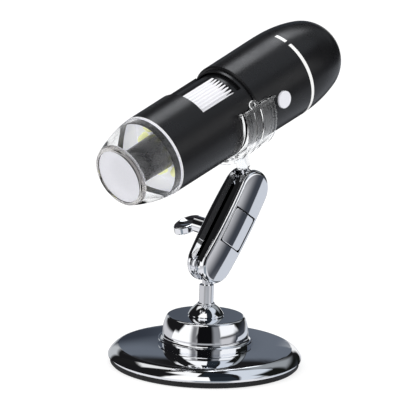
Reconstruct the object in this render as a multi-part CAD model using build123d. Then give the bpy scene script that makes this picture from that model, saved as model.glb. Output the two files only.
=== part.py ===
from build123d import *
import math
import os

# USB digital microscope on a ball-jointed table stand. All lengths are in millimetres.
# The origin is the centre of the base's underside, Z is up, the lens end points toward -Y
# and the clamp screw of the arm lies along X.

# Cutting solids run past the walls that they cut by this much.
overrun = 1.0

# Clearances. A turned fit is a shaft in its bore, a thread fit a screw in its nut.
turned_fit = 0.06
thread_fit = 0.05
seat_fit = 0.05
moving_gap = 0.3

# Resting pose of the stand, in degrees.
arm_lean = 32.7
arm_side_lean = 2.7
stalk_lean = 20.0
stalk_side_lean = 3.0

# Base: rubber foot, chromed plate with its weight, and dome.
rim_radius = 34.9
foot_setback = 0.8
foot_radius = rim_radius - foot_setback
foot_thickness = 2.0
rim_height = 3.0
rim_undercut = 0.6
bevel_width = 3.7
bevel_top_radius = rim_radius - bevel_width
bevel_top_height = 6.5
bevel_top_edge = 1.6
bevel_swell = 0.35
crown_swell = 0.22
seat_radius = 17.4
seat_height = 7.7
base_wall = 1.3
weight_gap = 0.3
dome_lip_radius = 16.9
dome_lip_rise = 1.1
dome_lip_thickness = 0.5
dome_flare_height = 1.0
dome_flare_sag = 0.3
dome_foot_radius = 15.5
dome_waist_radius = 15.35
dome_waist_height = 13.0
dome_top_radius = 13.9
dome_top_height = 17.8
dome_top_edge = 1.1
dome_wall = 1.3
dome_cap_thickness = 2.0
screw_circle_radius = 10.4
screw_count = 3
boss_radius = 2.6
base_screw_radius = 1.2
base_screw_depth = 5.5
base_screw_head_radius = 2.3
base_screw_head_height = 1.5
screw_well_radius = 3.1

# Stem: turned rod on a shouldered shank, held by a washer and a nut under the dome.
rod_radius = 2.6
shank_radius = 1.9
shank_length = 6.9
washer_radius = 4.6
washer_thickness = 0.6
swivel_nut_width = 7.0
swivel_nut_thickness = 3.2
collar_radius = 6.45
collar_foot_radius = 6.2
collar_rim_height = 0.5
collar_swell = 0.3
collar_top_radius = 2.9
collar_height = 4.3
collar_bead_radius = 3.15
collar_bead_height = 0.6

# Ball studs at the two ends of the arm.
ball_radius = 4.2
lower_ball_height = 35.66
lower_neck_length = 6.6
lower_neck_radius = 1.6
lower_spigot_radius = 1.3
lower_spigot_length = 5.0
upper_neck_radius = 1.7
upper_shank_radius = 1.5
upper_shank_length = 5.7

# Arm: two crowned plates that clamp the balls between them.
ball_distance = 33.9
plate_width = 14.7
plate_end = 5.3
plate_gap = 1.6
plate_face = 6.0
plate_crown_radius = 40.0
plate_bow_radius = 200.0
plate_edge_radius = 1.7
plate_inner_bevel = 0.6
plate_inner_bevel_height = 1.9
socket_gap = 0.08
neck_room = 2.5
neck_room_start = 0.4
inset_width = 11.2
inset_height = 13.9
inset_drop = 0.6
inset_corner = 1.6
inset_floor = 4.8
inset_gap = 0.3
inset_edge_radius = 0.3
inset_sink = 0.1
screw_drop = 3.0
clamp_screw_radius = 1.5
clamp_bore_gap = 0.3
clamp_nut_width = 5.5
clamp_nut_thickness = 2.0
clamp_screw_end = 4.5
hub_collar_radius = 3.9
hub_collar_length = 1.1
hub_radius = 3.0
screw_hub_length = 7.7
paddle_half_length = 3.85
paddle_half_width = 5.95
paddle_thickness = 2.9
paddle_drop = 1.75
paddle_edge_radius = 0.5
paddle_dish_radius = 12.0
paddle_dish_depth = 0.4
paddle_station = 19.65
paddle_turn = 50.0
paddle_neck_radius = 1.3
paddle_neck_overlap = 1.5
paddle_neck_length = 4.5

# Clear clip with its stalk.
stalk_length = 30.3
stalk_radius = 2.45
stalk_foot = 6.6
stalk_root_radius = 3.5
stalk_root_height = 2.4
clip_opening_angle = 78.5
clip_front_bore = 15.8
clip_rear_bore = 16.55
clip_radius = 17.6
clip_front_station = 46.7
clip_length = 15.4
clip_front_flange_radius = 18.3
clip_front_flange_width = 1.3
clip_rib_radius = 18.15
clip_rib_width = 0.9
clip_first_rib_station = 52.2
clip_second_rib_station = 55.5
clip_rear_flange_radius = 18.1
clip_rear_flange_width = 0.9
lip_radius = 20.1
lip_thickness = 0.8
gusset_reach = 0.85
gusset_width = 0.9
lip_rail_width = 0.5
ear_radius = 1.75
ear_thickness = 1.1
ear_hole_radius = 0.9
ear_rise = 1.05
ear_station = 51.5

# Microscope: stations are measured along the tube from the front rim of the clear cap.
stalk_station = 55.9
cap_rim_radius = 11.0
cap_rim_chamfer = 0.4
cap_shoulder_radius = 13.55
cap_shoulder_station = 7.6
cap_wall = 1.05
cap_skirt_station = 12.6
window_radius = 9.8
window_thickness = 1.0
window_sink = 0.5
window_ledge = 0.8
window_ledge_thickness = 0.8
seam_station = 16.5
seam_radius = 15.1
spigot_length = 2.6
front_wall_radius = 13.3
board_seat_station = 23.2
throat_radius = 12.2
front_tube_radius = 15.5
neck_groove_station = 54.1
neck_radius = 15.0
step_station = 55.7
tail_end_station = 63.0
wheel_room_radius = 14.45
wheel_room_station = 34.0
port_station = 34.3
port_left_angle = -42.0
port_right_angle = 51.5

led_board_thickness = 1.0
led_board_bore = 7.1
led_count = 8
led_circle_radius = 8.9
led_first_angle = 22.5
led_radius = 1.45
led_flange_radius = 1.6
led_flange_height = 0.6
led_height = 3.2

barrel_radius = 6.4
barrel_rim_radius = 6.75
barrel_rim_length = 1.1
barrel_front_station = 3.4
barrel_length = 35.0
barrel_bore = 4.8
lens_radius = 5.5
lens_edge_thickness = 1.6
lens_bulge = 0.6
lens_seat_depth = 3.4
retainer_bore = 4.4
retainer_thickness = 1.0
retainer_sink = 0.2
pin_radius = 0.8
pin_reach = 9.0
pin_depth = 0.9
pin_back = 2.2
barrel_forward_travel = 1.2
barrel_rear_travel = 3.6
guide_front_station = 26.0
guide_wall = 1.0
guide_flange_station = 57.3
guide_flange_thickness = 2.6

wheel_front_station = 34.7
wheel_length = 20.5
wheel_radius = 13.75
wheel_wall = 1.2
wheel_web_setback = 2.0
wheel_web_thickness = 2.4
pin_hub_gap = 1.0
hub_length = 8.0
hub_wall = 1.8
grip_left_angle = 7.0
grip_rail_angle = 47.2
grip_right_angle = 50.5
grip_length = 16.4
grip_inlay_depth = 0.5
grip_ridge_height = 0.4
grip_ridge_count = 7
grip_tip_length = 3.2

sensor_board_thickness = 1.2
sensor_width = 7.0
sensor_height = 1.4
board_screw_circle = 11.0
board_screw_radius = 0.75
board_screw_depth = 2.0
board_screw_head_radius = 1.5
board_screw_head_height = 1.0

housing_front_radius = 16.1
housing_rear_radius = 16.5
housing_edge = 0.5
housing_end_station = 82.7
cap_plug_length = 3.2
cap_plug_wall = 1.2
ring_width = 1.4
ring_depth = 0.8
ring_proud = 0.08
ring_segments = [(14.5, 31.5), (37.5, 327.0)]
dome_station = 84.3
dome_radius = 16.45
dome_flank_radius = 56.0
dome_flank_length = 16.0
dome_shell = 1.6
gland_seat_station = 110.2
gland_seat_radius = 4.6
gland_radius = 3.6
gland_tip_radius = 3.0
gland_length = 2.4
gland_neck_radius = 2.5
gland_neck_length = 3.0
cord_bore_radius = 1.8

button_station = 68.4
button_angle = 94.0
button_radius = 3.15
button_gap = 0.1
button_face = 16.95
button_edge = 0.4
button_flange_radius = 3.9
button_flange_face = 14.25
button_flange_thickness = 0.8
button_stem_radius = 1.2
button_stem_length = 0.5
switch_width = 6.0
switch_height = 3.8
plunger_radius = 1.6
plunger_height = 0.6
main_board_face = 8.2
main_board_thickness = 1.2
main_board_half_width = 12.3
main_board_station = 64.2
main_board_length = 14.8

# Values that follow from the sizes above.
guide_bore = barrel_radius + turned_fit
guide_radius = guide_bore + guide_wall
sensor_board_station = guide_flange_station + guide_flange_thickness
dome_base_height = seat_height
dome_underside = dome_top_height - dome_cap_thickness
housing_bore = neck_radius + seat_fit
pin_station = barrel_front_station + barrel_length - pin_back
hub_front_station = pin_station + barrel_rear_travel + pin_radius + pin_hub_gap
wheel_web_station = hub_front_station + wheel_web_setback
rod_top_height = lower_ball_height - lower_neck_length


def turned(*outline):
    """Solid of revolution about Z from a closed outline of (radius, height) points."""
    points = [(radius, 0, height) for radius, height in outline]
    return revolve(make_face(Polyline(*points, close=True)), axis=Axis.Z)


def turned_curves(*curves):
    """Solid of revolution about Z from joined curves in the XZ plane."""
    return revolve(make_face(Wire(list(curves))), axis=Axis.Z)


def line(start, end):
    return Line((start[0], 0, start[1]), (end[0], 0, end[1]))


def arc(start, through, end):
    return ThreePointArc((start[0], 0, start[1]), (through[0], 0, through[1]), (end[0], 0, end[1]))


def ring(inner, outer, start, length):
    """Plain tube along Z."""
    return turned((inner, start), (outer, start), (outer, start + length), (inner, start + length))


def rod(radius, start, length):
    """Plain cylinder along Z from a start height."""
    return Pos(0, 0, start + length / 2) * Cylinder(radius, length)


def rod_along_x(radius, start, length):
    """Plain cylinder along X from a start place."""
    return Pos(start + length / 2, 0, 0) * Rot(0, 90, 0) * Cylinder(radius, length)


def hex_prism(width, start, length):
    """Hexagonal prism along Z, with its width across flats."""
    outline = RegularPolygon(width / math.sqrt(3), 6)
    return Pos(0, 0, start) * extrude(outline, length)


def sector(inner, outer, start, length, first_angle, last_angle):
    """Part of a ring about the tube's axis, between two angles from the tube's top line."""
    face = make_face(Polyline(
        (inner, 0, start), (outer, 0, start), (outer, 0, start + length), (inner, 0, start + length),
        close=True))
    return around(first_angle) * revolve(face, axis=Axis.Z, revolution_arc=last_angle - first_angle)


def around(angle):
    """Turn from the +X side of the tube to an angle counted from its top line toward +X."""
    return Rot(0, 0, angle - 90)


def on_circle(radius, count, first_angle=0.0):
    """Places on a circle about Z."""
    step = 360 / count
    return [Rot(0, 0, first_angle + step * index) * Pos(radius, 0, 0) for index in range(count)]


# Frames of the arm, the stalk and the tube at rest.
arm_frame = Pos(0, 0, lower_ball_height) * Rot(-arm_lean, 0, 0) * Rot(0, arm_side_lean, 0)
upper_ball_centre = (arm_frame * Pos(0, 0, ball_distance)).position
stalk_frame = Pos(*upper_ball_centre) * Rot(stalk_lean, 0, 0) * Rot(0, -stalk_side_lean, 0)
tube_on_stalk = Pos(0, 0, stalk_length) * Rot(-90, 0, 0) * Pos(0, 0, -stalk_station)
tube_frame = stalk_frame * tube_on_stalk


# Base

def make_foot_pad():
    pad = rod(foot_radius, 0, foot_thickness)
    return chamfer(pad.edges().sort_by(Axis.Z)[0], foot_thickness / 4)


def base_inner_corners(gap):
    """Corners of the room under the chromed plate, drawn in by a gap."""
    return [
        (rim_radius - rim_undercut - base_wall - gap, foot_thickness),
        (bevel_top_radius - base_wall - gap, bevel_top_height - base_wall - gap),
        (seat_radius, seat_height - base_wall - gap),
    ]


def make_base_plate():
    foot = (rim_radius - rim_undercut, foot_thickness)
    rim = (rim_radius, rim_height)
    bevel = (bevel_top_radius, bevel_top_height)
    seat = (seat_radius, seat_height)
    inner_foot, inner_bevel, inner_seat = base_inner_corners(0)
    rim_middle = (rim_radius - rim_undercut / 4, (foot_thickness + rim_height) / 2)
    bevel_middle = ((rim[0] + bevel[0]) / 2 + bevel_swell, (rim[1] + bevel[1]) / 2 + bevel_swell)
    crown_middle = ((bevel[0] + seat[0]) / 2, (bevel[1] + seat[1]) / 2 + crown_swell)
    plate = turned_curves(
        line((0, seat_height), seat),
        arc(seat, crown_middle, bevel),
        arc(bevel, bevel_middle, rim),
        arc(rim, rim_middle, foot),
        line(foot, inner_foot),
        line(inner_foot, inner_bevel),
        line(inner_bevel, inner_seat),
        line(inner_seat, (0, inner_seat[1])),
        line((0, inner_seat[1]), (0, seat_height)),
    )
    circles = plate.edges().filter_by(GeomType.CIRCLE)
    bevel_rim = circles.sort_by(lambda edge: abs(edge.radius - bevel_top_radius))[0]
    plate = fillet(bevel_rim, bevel_top_edge)
    for place in on_circle(screw_circle_radius, screw_count):
        plate -= place * rod(base_screw_radius + thread_fit, inner_seat[1] - overrun, base_wall + 2 * overrun)
    return plate


def make_base_weight():
    foot, bevel, seat = base_inner_corners(weight_gap)
    weight = turned((0, foot_thickness), foot, bevel, seat, (0, seat[1]))
    for place in on_circle(screw_circle_radius, screw_count):
        weight -= place * rod(screw_well_radius, foot_thickness - overrun, seat_height + overrun)
    return weight


def make_base_screws():
    underside = seat_height - base_wall
    head = rod(base_screw_head_radius, underside - base_screw_head_height, base_screw_head_height)
    head -= hex_prism(base_screw_radius * 2, underside - base_screw_head_height - overrun,
                      overrun + base_screw_head_height / 2)
    screw = head + rod(base_screw_radius, underside, base_wall + base_screw_depth)
    return Compound([place * screw for place in on_circle(screw_circle_radius, screw_count)])


def make_dome():
    lip_foot = dome_base_height + dome_lip_rise
    lip_top = lip_foot + dome_lip_thickness
    flare_top = (dome_foot_radius, lip_top + dome_flare_height)
    flare_middle = ((dome_foot_radius + dome_lip_radius) / 2 - dome_flare_sag,
                    lip_top + dome_flare_height / 2 - dome_flare_sag)
    inner_foot = (dome_foot_radius - dome_wall, dome_base_height)
    inner_top = (dome_top_radius - dome_wall, dome_underside)
    shell = turned_curves(
        line((0, dome_top_height), (dome_top_radius, dome_top_height)),
        arc((dome_top_radius, dome_top_height), (dome_waist_radius, dome_waist_height),
            flare_top),
        arc(flare_top, flare_middle, (dome_lip_radius, lip_top)),
        line((dome_lip_radius, lip_top), (dome_lip_radius, lip_foot)),
        line((dome_lip_radius, lip_foot), (dome_foot_radius, lip_foot)),
        line((dome_foot_radius, lip_foot), (dome_foot_radius, dome_base_height)),
        line((dome_foot_radius, dome_base_height), inner_foot),
        line(inner_foot, inner_top),
        line(inner_top, (0, dome_underside)),
        line((0, dome_underside), (0, dome_top_height)),
    )
    shell = fillet(shell.edges().filter_by(GeomType.CIRCLE).sort_by(Axis.Z)[-1], dome_top_edge)
    boss = rod(boss_radius, dome_base_height, dome_underside - dome_base_height + dome_cap_thickness / 2)
    boss -= rod(base_screw_radius + thread_fit, dome_base_height - overrun, base_screw_depth + 2 * overrun)
    for place in on_circle(screw_circle_radius, screw_count):
        shell += place * boss
    shell -= rod(shank_radius + turned_fit, dome_underside - overrun, dome_cap_thickness + 2 * overrun)
    return shell


# Stem

def make_collar():
    bore = rod_radius + seat_fit
    rim = (collar_radius, dome_top_height + collar_rim_height)
    shoulder = (collar_top_radius, dome_top_height + collar_height)
    bell_middle = ((rim[0] + shoulder[0]) / 2 + collar_swell, (rim[1] + shoulder[1]) / 2 + collar_swell)
    bell = turned_curves(
        line((bore, dome_top_height), (collar_foot_radius, dome_top_height)),
        line((collar_foot_radius, dome_top_height), rim),
        arc(rim, bell_middle, shoulder),
        line(shoulder, (bore, shoulder[1])),
        line((bore, shoulder[1]), (bore, dome_top_height)),
    )
    bead = ring(bore, collar_bead_radius, shoulder[1] - collar_bead_height / 2, collar_bead_height)
    upper_rim = bead.edges().filter_by(GeomType.CIRCLE).sort_by(Axis.Z)[-2:].sort_by(lambda edge: edge.radius)[-1]
    return bell + fillet(upper_rim, collar_bead_height / 3)


def make_stem():
    stem = rod(rod_radius, dome_top_height, rod_top_height - dome_top_height)
    stem += rod(shank_radius, dome_top_height - shank_length, shank_length)
    socket_start = rod_top_height - lower_spigot_length - seat_fit
    return stem - rod(lower_spigot_radius + seat_fit, socket_start, lower_spigot_length + overrun)


def make_swivel_washer():
    return ring(shank_radius + thread_fit, washer_radius, dome_underside - washer_thickness, washer_thickness)


def make_swivel_nut():
    start = dome_underside - washer_thickness - swivel_nut_thickness
    nut = hex_prism(swivel_nut_width, start, swivel_nut_thickness)
    return nut - rod(shank_radius + thread_fit, start - overrun, swivel_nut_thickness + 2 * overrun)


def make_lower_ball():
    neck_length = lower_ball_height - rod_top_height
    stud = Pos(0, 0, lower_ball_height) * Sphere(ball_radius)
    stud += rod(lower_neck_radius, rod_top_height, neck_length)
    return stud + rod(lower_spigot_radius, rod_top_height - lower_spigot_length, lower_spigot_length)


# Arm, drawn with its lower ball at the origin and its length along Z

def slot_prism(start, length):
    """Plate blank between two X planes, with round ends."""
    total = ball_distance + 2 * plate_end
    outline = Pos(0, ball_distance / 2) * SlotOverall(total, plate_width, rotation=90)
    return extrude(Plane.YZ.offset(start) * outline, length)


def crown_barrel(face):
    """Barrel whose skin is the outer face of a plate, crowned across it and bowed along it."""
    side = plate_width / 2 + overrun
    side_radius = plate_bow_radius - plate_crown_radius + math.sqrt(plate_crown_radius ** 2 - side ** 2)
    floor_radius = plate_bow_radius - face - overrun
    half_turn = math.degrees(math.asin((ball_distance / 2 + plate_end + overrun) / floor_radius))
    outline = Wire([
        ThreePointArc((side_radius, -side, 0), (plate_bow_radius, 0, 0), (side_radius, side, 0)),
        Line((side_radius, side, 0), (floor_radius, side, 0)),
        Line((floor_radius, side, 0), (floor_radius, -side, 0)),
        Line((floor_radius, -side, 0), (side_radius, -side, 0)),
    ])
    barrel = revolve(make_face(outline), axis=Axis.Y, revolution_arc=2 * half_turn)
    return Pos(face - plate_bow_radius, 0, ball_distance / 2) * Rot(0, -half_turn, 0) * barrel


def inner_bevel():
    """Wedge that draws a plate's long side in toward the gap between the plates."""
    side = plate_width / 2
    inner = plate_gap / 2
    wedge = make_face(Polyline(
        (inner, side - plate_inner_bevel), (inner + plate_inner_bevel_height, side),
        (inner + plate_inner_bevel_height, side + overrun), (inner - overrun, side + overrun),
        (inner - overrun, side - plate_inner_bevel), close=True))
    return Pos(0, 0, -plate_end) * extrude(wedge, ball_distance + 2 * plate_end)


def rounded_block(width, height, corner, start, length):
    """Block along X with rounded corners, centred on the inset."""
    outline = Pos(0, ball_distance / 2 - inset_drop) * RectangleRounded(width, height, corner)
    return extrude(Plane.YZ.offset(start) * outline, length)


def clamp_place():
    return Pos(0, 0, ball_distance / 2 - screw_drop)


def plate_blank():
    """Flat plate with its two ball sockets, the room for the necks and the screw's bore."""
    half_gap = plate_gap / 2
    blank = slot_prism(half_gap, plate_face - half_gap)
    for height in (0, ball_distance):
        blank -= Pos(0, 0, height) * Rot(0, 90, 0) * Sphere(ball_radius + socket_gap)
    room = Box(neck_room + overrun, plate_width + 2 * overrun, plate_end + overrun,
               align=(Align.MAX, Align.CENTER, Align.MIN))
    blank -= Pos(neck_room, 0, ball_distance + neck_room_start) * room
    blank -= Pos(neck_room, 0, -neck_room_start) * Rot(180, 0, 0) * room
    wedge = inner_bevel()
    blank -= wedge
    blank -= mirror(wedge, Plane.XZ)
    bore = rod_along_x(clamp_screw_radius + clamp_bore_gap, -overrun, plate_face + 2 * overrun)
    return blank - clamp_place() * bore


def crowned(blank):
    """Plate with its outer face crowned and its rim rounded."""
    plate = blank & crown_barrel(plate_face)
    outer_edges = plate.edges().filter_by(lambda edge: edge.center().X > plate_face / 2)
    return fillet(outer_edges.filter_by(lambda edge: edge.length > plate_width), plate_edge_radius)


def make_front_plate():
    depth = plate_face - inset_floor + overrun
    pocket = rounded_block(inset_width, inset_height, inset_corner, inset_floor, depth)
    nut_room = hex_prism(clamp_nut_width + 2 * thread_fit, 0, clamp_nut_thickness + overrun)
    nut_start = inset_floor - clamp_nut_thickness
    plate = crowned(plate_blank()) - pocket
    return plate - clamp_place() * Pos(nut_start, 0, 0) * Rot(0, 90, 0) * nut_room


def make_rear_plate():
    return mirror(crowned(plate_blank()), Plane.YZ)


def make_inset():
    width = inset_width - 2 * inset_gap
    height = inset_height - 2 * inset_gap
    block = rounded_block(width, height, inset_corner - inset_gap, inset_floor, plate_face - inset_floor)
    panel = block & crown_barrel(plate_face - inset_sink)
    face = panel.faces().sort_by(Axis.X)[-1]
    return fillet(face.edges(), inset_edge_radius)


def make_clamp_nut():
    nut = hex_prism(clamp_nut_width, 0, clamp_nut_thickness)
    nut -= rod(clamp_screw_radius + thread_fit, -overrun, clamp_nut_thickness + 2 * overrun)
    return clamp_place() * Pos(inset_floor - clamp_nut_thickness, 0, 0) * Rot(0, 90, 0) * nut


def make_thumb_screw():
    """Screw with a collar, a hub and an oval paddle that hangs off the hub's end on a short neck."""
    start = -plate_face - moving_gap
    screw = rod_along_x(clamp_screw_radius, start, clamp_screw_end - start)
    screw += rod_along_x(hub_collar_radius, start - hub_collar_length, hub_collar_length)
    screw += rod_along_x(hub_radius, start - screw_hub_length, screw_hub_length)
    half = paddle_thickness / 2
    paddle = extrude(Ellipse(paddle_half_length, paddle_half_width), half, both=True)
    paddle = fillet(paddle.edges().filter_by(GeomType.ELLIPSE), paddle_edge_radius)
    dish = Pos(0, 0, half - paddle_dish_depth + paddle_dish_radius) * Sphere(paddle_dish_radius)
    paddle -= dish
    paddle -= mirror(dish, Plane.XY)
    paddle_place = Rot(paddle_turn, 0, 0) * Pos(-paddle_station, 0, -paddle_drop)
    screw += paddle_place * paddle
    neck_start = paddle_half_length - paddle_neck_overlap
    screw += paddle_place * rod_along_x(paddle_neck_radius, neck_start, paddle_neck_length)
    return clamp_place() * screw


# Clip and its ball, drawn with the upper ball at the origin and the stalk along Z

def make_upper_ball():
    stud = Sphere(ball_radius) + rod(upper_neck_radius, 0, stalk_foot - seat_fit)
    return stud + rod(upper_shank_radius, 0, stalk_foot + upper_shank_length)


def clip_band():
    """C-shaped band about the tube, with ribs outside and a step inside."""
    front = clip_front_station
    rear = clip_front_station + clip_length
    inner_step = step_station - moving_gap
    half_rib = clip_rib_width / 2
    outline = [
        (clip_front_bore, front),
        (clip_front_flange_radius, front),
        (clip_front_flange_radius, front + clip_front_flange_width),
        (clip_radius, front + clip_front_flange_width),
    ]
    for station in (clip_first_rib_station, clip_second_rib_station):
        outline += [
            (clip_radius, station - half_rib), (clip_rib_radius, station - half_rib),
            (clip_rib_radius, station + half_rib), (clip_radius, station + half_rib),
        ]
    outline += [
        (clip_radius, rear - clip_rear_flange_width),
        (clip_rear_flange_radius, rear - clip_rear_flange_width),
        (clip_rear_flange_radius, rear),
        (clip_rear_bore, rear),
        (clip_rear_bore, inner_step),
        (clip_front_bore, inner_step),
    ]
    face = make_face(Polyline(*[(radius, 0, station) for radius, station in outline], close=True))
    sweep_angle = 360 - 2 * clip_opening_angle
    return around(clip_opening_angle) * revolve(face, axis=Axis.Z, revolution_arc=sweep_angle)


def clip_lip():
    """Outward lip of one end of the band, with its gussets and ear, at the +X side."""
    middle = clip_front_station + clip_length / 2
    band_middle = (clip_rear_bore + clip_radius) / 2
    lip = Pos(band_middle, 0, middle) * Box(
        lip_radius - band_middle, lip_thickness, clip_length, align=(Align.MIN, Align.MIN, Align.CENTER))
    half_width = gusset_width / 2
    first = clip_front_station + half_width
    last = clip_front_station + clip_length - half_width
    foot = lip_thickness + gusset_reach
    triangle = make_face(Polyline(
        (band_middle, lip_thickness), (lip_radius - lip_thickness, lip_thickness),
        (band_middle, foot), close=True))
    for station in (first, clip_first_rib_station, clip_second_rib_station, last):
        lip += Pos(0, 0, station - half_width) * extrude(triangle, gusset_width)
    lip += Pos(band_middle, foot, middle) * Box(
        clip_rib_radius - band_middle, lip_rail_width, clip_length, align=(Align.MIN, Align.CENTER, Align.CENTER))
    ear_start = lip_radius - ear_thickness
    ear_place = Pos(0, -ear_rise, ear_station)
    lip += ear_place * rod_along_x(ear_radius, ear_start, ear_thickness)
    return lip - ear_place * rod_along_x(ear_hole_radius, ear_start - overrun, ear_thickness + 2 * overrun)


def make_clip():
    lip = clip_lip()
    band = clip_band()
    band += around(clip_opening_angle) * lip
    band += around(-clip_opening_angle) * mirror(lip, Plane.XZ)
    root_top = stalk_length - (clip_rear_bore + clip_radius) / 2
    root_start = root_top - stalk_root_height
    stalk = rod(stalk_radius, stalk_foot, root_top - stalk_foot)
    stalk += Pos(0, 0, root_start) * Cone(
        stalk_radius, stalk_root_radius, stalk_root_height, align=(Align.CENTER, Align.CENTER, Align.MIN))
    clip = stalk + tube_on_stalk * band
    bore_depth = upper_shank_length + moving_gap
    return clip - rod(upper_shank_radius + turned_fit, stalk_foot - overrun, bore_depth + overrun)


# Microscope, drawn with the front rim of its cap at the origin and its axis along Z

def make_clear_cap():
    front_bore = window_radius + seat_fit
    ledge_bore = window_radius - window_ledge
    ledge_start = window_sink + window_thickness
    ledge_end = ledge_start + window_ledge_thickness
    skirt_bore = seam_radius - cap_wall
    rim = (cap_rim_radius, cap_rim_chamfer)
    inner_front = (cap_rim_radius - cap_rim_chamfer / 2, ledge_end)
    return turned_curves(
        line((front_bore, 0), (cap_rim_radius - cap_rim_chamfer, 0)),
        line((cap_rim_radius - cap_rim_chamfer, 0), rim),
        arc(rim, (cap_shoulder_radius, cap_shoulder_station), (seam_radius, seam_station)),
        line((seam_radius, seam_station), (skirt_bore, seam_station)),
        line((skirt_bore, seam_station), (skirt_bore, cap_skirt_station)),
        arc((skirt_bore, cap_skirt_station), (cap_shoulder_radius - cap_wall, cap_shoulder_station), inner_front),
        line(inner_front, (ledge_bore, ledge_end)),
        line((ledge_bore, ledge_end), (ledge_bore, ledge_start)),
        line((ledge_bore, ledge_start), (front_bore, ledge_start)),
        line((front_bore, ledge_start), (front_bore, 0)),
    )


def make_front_window():
    return rod(window_radius, window_sink, window_thickness)


def make_front_tube():
    spigot_radius = seam_radius - cap_wall - seat_fit
    spigot_front = seam_station - spigot_length
    tube = turned(
        (front_wall_radius, spigot_front), (spigot_radius, spigot_front), (spigot_radius, seam_station),
        (seam_radius, seam_station), (front_tube_radius, neck_groove_station),
        (neck_radius, neck_groove_station), (neck_radius, tail_end_station),
        (wheel_room_radius, tail_end_station), (wheel_room_radius, wheel_room_station),
        (throat_radius, wheel_room_station), (throat_radius, board_seat_station),
        (front_wall_radius, board_seat_station))
    port_length = neck_groove_station - port_station
    port = sector(throat_radius, front_tube_radius + overrun, port_station, port_length,
                  port_left_angle, port_right_angle)
    return tube - port


def make_led_board():
    start = board_seat_station - led_board_thickness
    return ring(led_board_bore, front_wall_radius - seat_fit, start, led_board_thickness)


def make_leds():
    board_face = board_seat_station - led_board_thickness
    tip = board_face - led_height
    led = rod(led_radius, tip + led_radius, led_height - led_radius)
    led += Pos(0, 0, tip + led_radius) * Sphere(led_radius)
    led += rod(led_flange_radius, board_face - led_flange_height, led_flange_height)
    places = on_circle(led_circle_radius, led_count, led_first_angle - 90)
    return Compound([place * led for place in places])


def make_lens_barrel():
    front = barrel_front_station
    barrel = rod(barrel_radius, front, barrel_length) + rod(barrel_rim_radius, front, barrel_rim_length)
    barrel -= rod(barrel_bore, front - overrun, barrel_length + 2 * overrun)
    barrel -= rod(lens_radius + seat_fit, front - overrun, lens_seat_depth + overrun)
    pin_place = around(0) * Pos(0, 0, pin_station)
    pin_hole = rod_along_x(pin_radius, barrel_radius - pin_depth, pin_reach)
    return barrel - pin_place * pin_hole


def make_guide_pin():
    start = barrel_radius - pin_depth
    return around(0) * Pos(0, 0, pin_station) * rod_along_x(pin_radius, start, pin_reach - start)


def make_objective_lens():
    back = barrel_front_station + lens_seat_depth
    edge = back - lens_edge_thickness
    top = edge - lens_bulge
    sphere_radius = (lens_radius ** 2 + lens_bulge ** 2) / (2 * lens_bulge)
    half_rise = math.sqrt(sphere_radius ** 2 - (lens_radius / 2) ** 2) - (sphere_radius - lens_bulge)
    half_bulge = (lens_radius / 2, edge - half_rise)
    return turned_curves(
        line((0, back), (lens_radius, back)),
        line((lens_radius, back), (lens_radius, edge)),
        arc((lens_radius, edge), half_bulge, (0, top)),
        line((0, top), (0, back)),
    )


def make_lens_retainer():
    start = barrel_front_station + retainer_sink
    return ring(retainer_bore, lens_radius, start, retainer_thickness)


def make_lens_guide():
    length = guide_flange_station + guide_flange_thickness - guide_front_station
    guide = ring(guide_bore, guide_radius, guide_front_station, length)
    guide += ring(guide_bore, wheel_room_radius - seat_fit, guide_flange_station, guide_flange_thickness)
    slot_start = pin_station - barrel_forward_travel - pin_radius - moving_gap
    slot_end = pin_station + barrel_rear_travel + pin_radius + moving_gap
    slot = Box(guide_radius + overrun, 2 * (pin_radius + turned_fit), slot_end - slot_start,
               align=(Align.MIN, Align.CENTER, Align.MIN))
    guide -= around(0) * Pos(0, 0, slot_start) * slot
    for place in board_screw_places():
        guide -= place * rod(board_screw_radius + thread_fit, sensor_board_station - board_screw_depth,
                             board_screw_depth + overrun)
    return guide


def grip_crest():
    return wheel_radius + grip_ridge_height


def grip_pitch():
    """Angle between the grip's ridges, in degrees."""
    return (grip_rail_angle - grip_left_angle) / grip_ridge_count


def grip_groove_size():
    return grip_crest() * math.radians(grip_pitch()) / 2


def grip_ramp(gap):
    """Outline of the wheel's ramp that rises through the rear ends of the ridges."""
    floor = wheel_radius - grip_inlay_depth
    valley = grip_crest() - grip_groove_size() / math.sqrt(2)
    end = wheel_front_station + grip_length - gap
    return [(floor, end - grip_tip_length), (valley, end - grip_tip_length), (grip_crest(), end)]


def make_focus_wheel():
    inner = wheel_radius - wheel_wall
    hub_bore = guide_radius + turned_fit
    wheel = ring(inner, wheel_radius, wheel_front_station, wheel_length)
    wheel += ring(hub_bore, hub_bore + hub_wall, hub_front_station, hub_length)
    web_inner = hub_bore + hub_wall / 2
    web_outer = wheel_radius - wheel_wall / 2
    wheel += ring(web_inner, web_outer, wheel_web_station, wheel_web_thickness)
    wheel -= sector(wheel_radius - grip_inlay_depth, wheel_radius + overrun, wheel_front_station - overrun,
                    grip_length + overrun, grip_left_angle, grip_right_angle)
    ramp = grip_ramp(0) + [(wheel_radius - grip_inlay_depth, wheel_front_station + grip_length + wheel_wall)]
    face = make_face(Polyline(*[(radius, 0, station) for radius, station in ramp], close=True))
    sweep_angle = grip_right_angle - grip_left_angle
    return wheel + around(grip_left_angle) * revolve(face, axis=Axis.Z, revolution_arc=sweep_angle)


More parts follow.
